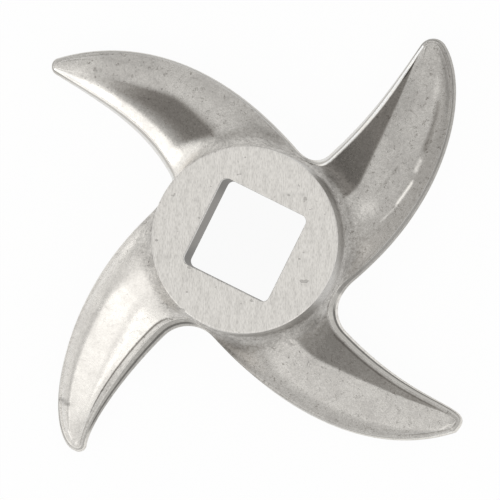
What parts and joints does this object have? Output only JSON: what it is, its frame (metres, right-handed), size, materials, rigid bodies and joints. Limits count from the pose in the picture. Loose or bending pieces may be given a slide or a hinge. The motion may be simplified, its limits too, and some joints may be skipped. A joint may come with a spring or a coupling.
{
  "type": "meat grinder knife",
  "caption": "Cross-shaped rotary knife for a meat grinder: sickle-shaped arms sweep from a round hub with a square drive bore.",
  "frame": {"origin": "on the drive bore's axis, in the plane of the arms' cutting faces", "axes": "+Z along the bore from the cutting faces to the boss's face; X and Y square to the bore's flats"},
  "size_m": [0.0714, 0.0714, 0.016],
  "materials": {
    "cast_stainless": "satin cast and tumbled stainless steel, with a finely ground boss face and cutting faces"
  },
  "bodies": {
    "root": {"grinder_knife": "cast_stainless"}
  },
  "joints": []
}
